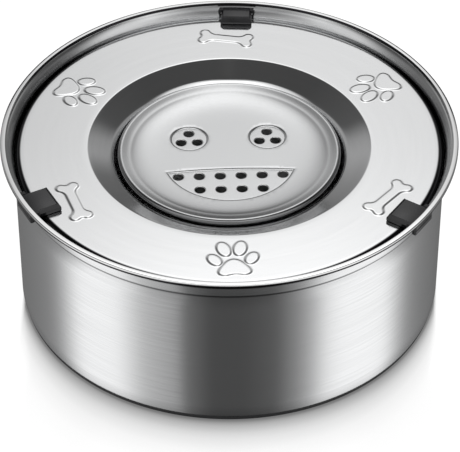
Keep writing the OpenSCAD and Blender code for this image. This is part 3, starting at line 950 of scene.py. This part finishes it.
def liner(name, angle):
    """The lining of a slot: it follows the tongue's section and has a lip on each side of the wall."""
    inner, outer, gap, lip = COLLAR_IN + 0.05, COLLAR_OUT + 1.5, 0.12, 0.5
    half, wide, flat = SLOT_HALF - 0.05, SLIDE_W / 2 + gap, SLIDE_FLAT / 2 + gap
    low, high, shoulder = SLOT_Z + 0.05, BEAD_Z - 0.02, SLIDE_TOP - SLIDE_BEVEL + gap
    wall = [(half, low), (half, high), (flat, high),
            (flat, SLIDE_TOP + gap / 2), (wide, shoulder), (wide, low)]
    ear = oblong(GRIP_W / 2 + 0.25, half, high - 1.3, high)
    inner_lip = oblong(half, half + lip, SLIDE_Z + 1.0, BEAD_Z - 0.5)
    outer_lip = oblong(half, half + lip, low - lip, low - lip + 4.0)
    solids = [prism(oblong(-wide, wide, low, SLIDE_Z - gap), inner, outer, True),
              prism(oblong(-half, half, low - lip, low), COLLAR_OUT, outer, True)]
    for side in (-1, 1):
        for section, start, end in ((wall, inner, outer), (ear, outer - 0.1, outer + 1.9),
                                    (inner_lip, inner, inner + 1.1), (outer_lip, COLLAR_OUT, outer)):
            solids.append(prism([(side * v, z) for v, z in section], start, end, True))
    moulded("latch_lining_" + name, solids, (angle, 0.0), LINER_PLASTIC, "bowl",
            ["latch_liner_" + name], 0.1)


def rib():
    """The rib across the tongue's nose, higher towards the wall."""
    nose, half = NOSE_R + NOSE_IN, SLIDE_FLAT / 2 - RIB_EDGE
    low, high = SLIDE_TOP - RIB_H, SLIDE_TOP + RIB_H
    section = [(nose, low), (nose + RIB_W, low), (nose + RIB_W, high), (nose + RIB_W / 2, high),
               (nose, SLIDE_TOP)]
    return prism(section, -half, half, False)


def grip():
    """The finger grip, with eased edges and a groove across its face."""
    low, out, mid = SLIDE_TOP - GRIP_H, GRIP_R + GRIP_T, SLIDE_TOP - GRIP_H + GRIP_GROOVE
    ease, groove = 0.6, 0.4
    section = [
        (GRIP_R, low + groove), (GRIP_R + groove, low), (out - ease, low), (out, low + ease),
        (out, mid - groove), (out - groove, mid), (out, mid + groove),
        (out, SLIDE_TOP - ease), (out - ease, SLIDE_TOP), (GRIP_R, SLIDE_TOP),
    ]
    return prism(section, -GRIP_W / 2, GRIP_W / 2, False)


for name, station in STATIONS.items():
    liner(name, station[0])
    for label, solids, replaced in (("latch_tongue_", [tongue(), rib()], "latch_slide_"),
                                    ("latch_bar_", [grip()], "latch_grip_")):
        moulded(label + name, solids, station, LATCH_PLASTIC, "latch_" + name,
                [replaced + name], 0.25)

for name, material in (("float_bottom_pan", PAN_STEEL), ("float_seal", SEAL_SILICONE)):
    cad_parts[name].data.materials.clear()
    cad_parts[name].data.materials.append(material)


# Studio: the camera of the photograph, what the steel mirrors, a pale floor and a soft lamp

scene = bpy.context.scene
scene.view_settings.view_transform = "Standard"

CAMERA_TURN, CAMERA_RISE, CAMERA_FAR = math.radians(2.0), math.radians(40.45), 1.4208
CAMERA_AIM = Vector((0.0004, 0, 0.0366))
FOCAL_PIXELS, PHOTO_PIXELS, SENSOR_W = 2523.26, 460.0, 36.0
camera = bpy.data.objects.new("camera", bpy.data.cameras.new("camera"))
scene.collection.objects.link(camera)
flat_far = math.cos(CAMERA_RISE)
away = Vector((math.sin(CAMERA_TURN) * flat_far, -math.cos(CAMERA_TURN) * flat_far, math.sin(CAMERA_RISE)))
camera.location = CAMERA_AIM + CAMERA_FAR * away
camera.rotation_euler = away.to_track_quat("Z", "Y").to_euler()
camera.data.sensor_width = SENSOR_W
camera.data.lens = FOCAL_PIXELS * SENSOR_W / PHOTO_PIXELS
camera.data.clip_start = 0.01
scene.camera = camera


def stops(tree, source, points):
    """A grey curve through (value, strength) points, from the first value to the last."""
    low, high = points[0][0], points[-1][0]
    scale = node(tree, "ShaderNodeMapRange", {"From Min": low, "From Max": high})
    curve = node(tree, "ShaderNodeValToRGB")
    join(tree, (source, scale.inputs["Value"]), (scale.outputs["Result"], curve.inputs["Fac"]))
    curve.color_ramp.interpolation = "LINEAR"
    marks = curve.color_ramp.elements
    while len(marks) < len(points):
        marks.new(0.5)
    for mark, (at, level) in zip(marks, points):
        mark.position = (at - low) / (high - low)
        mark.color = (level, level, level, 1)
    return curve.outputs["Color"]


# What the steel mirrors, by direction: strips beside the camera, a lamp above it, a bright screen behind
world = bpy.data.worlds.new("studio")
scene.world = world
world.use_nodes = True
sky = world.node_tree

# Directions: rise and side in degrees, and the level direction's two parts
way = node(sky, "ShaderNodeTexCoord")
axes = node(sky, "ShaderNodeSeparateXYZ")
flat_way = node(sky, "ShaderNodeVectorMath", {1: (1, 1, 0)}, operation="MULTIPLY")
flat_unit = node(sky, "ShaderNodeVectorMath", operation="NORMALIZE")
flat_parts = node(sky, "ShaderNodeSeparateXYZ")
join(
    sky,
    (way.outputs["Generated"], axes.inputs[0]),
    (way.outputs["Generated"], flat_way.inputs[0]),
    (flat_way.outputs[0], flat_unit.inputs[0]),
    (flat_unit.outputs[0], flat_parts.inputs[0]),
)
DEGREES = 180 / math.pi
rise = product(sky, math_node(sky, "ARCSINE", axes.outputs["Z"]), DEGREES)
ahead = product(sky, axes.outputs["Y"], -1.0)
side = product(sky, math_node(sky, "ARCTAN2", axes.outputs["X"], ahead), DEGREES)
flat_x, flat_y = flat_parts.outputs["X"], flat_parts.outputs["Y"]

# Low parts, round the bowl
round_low = stops(sky, side, [
    (-180, 0.08), (-155, 0.12), (-130, 0.155), (-110, 0.20), (-104, 0.28), (-95, 0.55), (-88, 0.84),
    (-62, 0.84), (-46, 0.44), (-27, 0.30), (-22, 0.12), (-8, 0.05), (10, 0.05), (28, 0.075),
    (40, 0.21), (48, 0.38), (57, 0.74), (66, 0.86), (96, 0.86), (104, 0.55), (111, 0.31),
    (118, 0.21), (135, 0.155), (155, 0.12), (180, 0.08),
])
round_mid = stops(sky, side, [
    (-180, 0.22), (-147, 0.20), (-125, 0.13), (-100, 0.12), (-82, 0.34), (-66, 0.54), (-48, 0.54),
    (-30, 0.40), (-14, 0.24), (0, 0.19), (14, 0.24), (30, 0.42), (48, 0.57), (66, 0.57),
    (82, 0.34), (100, 0.12), (125, 0.13), (147, 0.20), (180, 0.22),
])
nadir = stops(sky, rise, [(-90, 0.03), (-64, 0.05), (-52, 1), (90, 1)])
round_all = mix(sky, ramp(sky, rise, 0.0, 1.0, -30, -16), round_low, round_mid)
low = mix(sky, nadir, (0.02, 0.02, 0.02, 1), round_all)

# High parts: behind the bowl, at its sides and before it
back_screen = stops(sky, rise, [
    (0, 0.05), (12, 0.05), (17, 0.08), (20, 0.14), (23, 0.28), (26, 0.43), (30, 0.54), (38, 0.57),
    (40, 0.65), (42, 0.82), (44, 1.0), (50, 1.0), (63, 1.0), (68, 0.65), (73, 0.30), (78, 0.06),
    (90, 0.04),
])
left_sky = stops(sky, rise, [(0, 0.18), (24, 0.24), (31, 0.20), (38, 0.06), (60, 0.04), (90, 0.04)])
right_sky = stops(sky, rise, [
    (0, 0.07), (15, 0.11), (24, 0.20), (31, 0.17), (38, 0.05), (60, 0.04), (90, 0.04),
])
front_screen = stops(sky, rise, [(0, 0.2), (40, 0.2), (60, 0.10), (72, 0.06), (90, 0.04)])
side_sky = mix(sky, ramp(sky, flat_x, 0.0, 1.0, 0.0, 0.3), left_sky, right_sky)
behind = stops(sky, flat_y, [(-1, 0), (0.80, 0), (0.90, 0.08), (0.966, 0.38), (0.9957, 0.85), (1, 1)])
before = stops(sky, flat_y, [(-1, 1), (-0.8, 1), (-0.5, 0), (1, 0)])
high = mix(sky, before, mix(sky, behind, side_sky, back_screen), front_screen)

# The low parts reach up to the horizon behind and nearly to the zenith before the bowl
below = mix(
    sky, stops(sky, flat_y, [(-1, 1), (-0.3, 1), (0.1, 0), (1, 0)]),
    stops(sky, rise, [(-90, 1), (-4, 1), (4, 0), (90, 0)]),
    stops(sky, rise, [(-90, 1), (72, 1), (84, 0), (90, 0)]),
)
front_lamp = product(
    sky, stops(sky, rise, [(0, 0), (34, 0), (44, 0.9), (64, 0.9), (78, 0), (90, 0)]),
    stops(sky, side, [(-180, 0), (-58, 0), (-30, 1), (30, 1), (58, 0), (180, 0)]),
)
mirror = mix(sky, front_lamp, mix(sky, below, high, low), (1, 1, 1, 1))
path = node(sky, "ShaderNodeLightPath")
glow = node(sky, "ShaderNodeBackground", {"Color": (1, 1, 1, 1), "Strength": 0.45})
shown = node(sky, "ShaderNodeBackground", {"Strength": 1.6})
choice = node(sky, "ShaderNodeMixShader")
join(
    sky,
    (mirror, shown.inputs["Color"]),
    (path.outputs["Is Glossy Ray"], choice.inputs[0]),
    (glow.outputs[0], choice.inputs[1]),
    (shown.outputs[0], choice.inputs[2]),
    (choice.outputs[0], sky.nodes["World Output"].inputs["Surface"]),
)

# Floor: a painted soft shadow before the foot of the bowl, and white everywhere else; its small matte
# share also takes the lamp's real shadow
floor_mesh = bpy.data.meshes.new("studio_floor")
floor_mesh.from_pydata([(-4, -4, 0), (4, -4, 0), (4, 4, 0), (-4, 4, 0)], [], [(0, 1, 2, 3)])
floor = bpy.data.objects.new("studio_floor", floor_mesh)
scene.collection.objects.link(floor)
floor.visible_glossy = False
floor_material, ground, unused_shader = new_material("studio_floor")
ground.nodes.remove(unused_shader)
spot = node(ground, "ShaderNodeTexCoord")
spot_parts = node(ground, "ShaderNodeSeparateXYZ")
ground.links.new(spot.outputs["Object"], spot_parts.inputs[0])
across, along = spot_parts.outputs["X"], spot_parts.outputs["Y"]
chord = math_node(ground, "SUBTRACT", (WALL_R * MM) ** 2, product(ground, across, across))
foot_line = math_node(ground, "SQRT", math_node(ground, "MAXIMUM", chord, 0.0))
before_foot = math_node(ground, "MULTIPLY_ADD", along, -1.0, product(ground, foot_line, -1.0))
# Painted shadow: the glowing floor's colour darkens towards the foot of the bowl
painted_floor_shadow = stops(ground, before_foot, [
    (0, 0.17), (0.0005, 0.196), (0.002, 0.31), (0.004, 0.40), (0.0067, 0.50), (0.010, 0.63),
    (0.014, 0.74), (0.020, 0.84), (0.0235, 0.894), (0.029, 0.93), (0.040, 0.985), (0.055, 1.0),
    (0.06, 1.0),
])
off_middle = math_node(ground, "ABSOLUTE", math_node(ground, "SUBTRACT", across, 0.001))
beside = rises(ground, off_middle, 115.0, 117.5)
beyond = rises(ground, along, -4.0, 4.0)
clear = math_node(ground, "MAXIMUM", beside, beyond)
matte = node(ground, "ShaderNodeBsdfDiffuse", {"Color": (0.92, 0.92, 0.92, 1)})
lit = node(ground, "ShaderNodeEmission", {"Strength": 1.2})
gloss = node(ground, "ShaderNodeBsdfGlossy", {"Color": (0.95, 0.95, 0.95, 1), "Roughness": 0.12})
blend = node(ground, "ShaderNodeMixShader", {0: 0.8})
sheen = node(ground, "ShaderNodeMixShader", {0: 0.08})
join(
    ground,
    (mix(ground, clear, painted_floor_shadow, (1, 1, 1, 1)), lit.inputs["Color"]),
    (matte.outputs[0], blend.inputs[1]),
    (lit.outputs[0], blend.inputs[2]),
    (blend.outputs[0], sheen.inputs[1]),
    (gloss.outputs[0], sheen.inputs[2]),
    (sheen.outputs[0], ground.nodes["Material Output"].inputs["Surface"]),
)
floor_mesh.materials.append(floor_material)

# Lamp: a soft disc above, which the steel doesn't mirror
LAMP_AT = Vector((0, 0.25, 1.5))
lamp = bpy.data.objects.new("top_lamp", bpy.data.lights.new("top_lamp", "AREA"))
lamp.data.shape = "DISK"
lamp.data.size = 0.9
lamp.data.energy = 9
lamp.location = LAMP_AT
lamp.rotation_euler = LAMP_AT.to_track_quat("Z", "Y").to_euler()
lamp.visible_glossy = False
scene.collection.objects.link(lamp)
